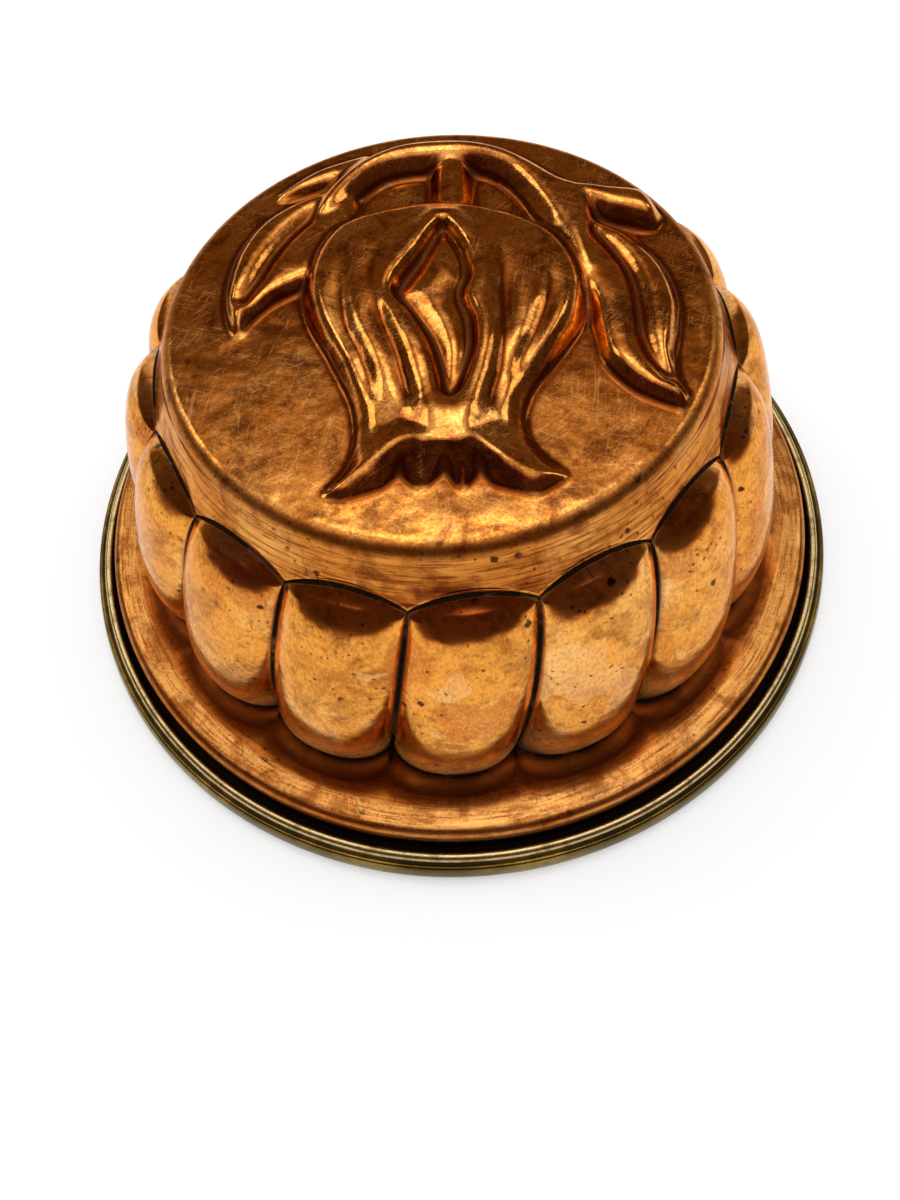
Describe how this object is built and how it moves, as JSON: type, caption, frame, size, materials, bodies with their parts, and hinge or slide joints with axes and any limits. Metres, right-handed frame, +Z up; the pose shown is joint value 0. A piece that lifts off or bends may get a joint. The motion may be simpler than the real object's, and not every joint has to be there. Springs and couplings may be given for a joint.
{
  "type": "cake mould",
  "caption": "Round raised copper cake mould with an embossed pomegranate crown, leaning lobed sides, a dished brim and a wired brass rim hoop.",
  "frame": {"origin": "on the table under the centre of the mouth, at the lowest face of the brass hoop", "axes": "+Z up through the crown, the mouth facing down; -Y the side the pomegranate's calyx points to, nearest the viewer in the picture; +Y the stem's side"},
  "size_m": [0.2198, 0.2198, 0.093],
  "materials": {
    "copper_sheet": null,
    "brass_hoop": "rolled and reeded, aged to olive gold",
    "iron_wire": "drawn iron wire, dull",
    "tin_solder": "grey soft solder"
  },
  "bodies": {
    "root": {"mould_shell": "copper_sheet", "rim_hoop": "brass_hoop", "rim_wire": "iron_wire", "rim_solder": "tin_solder"}
  },
  "joints": []
}
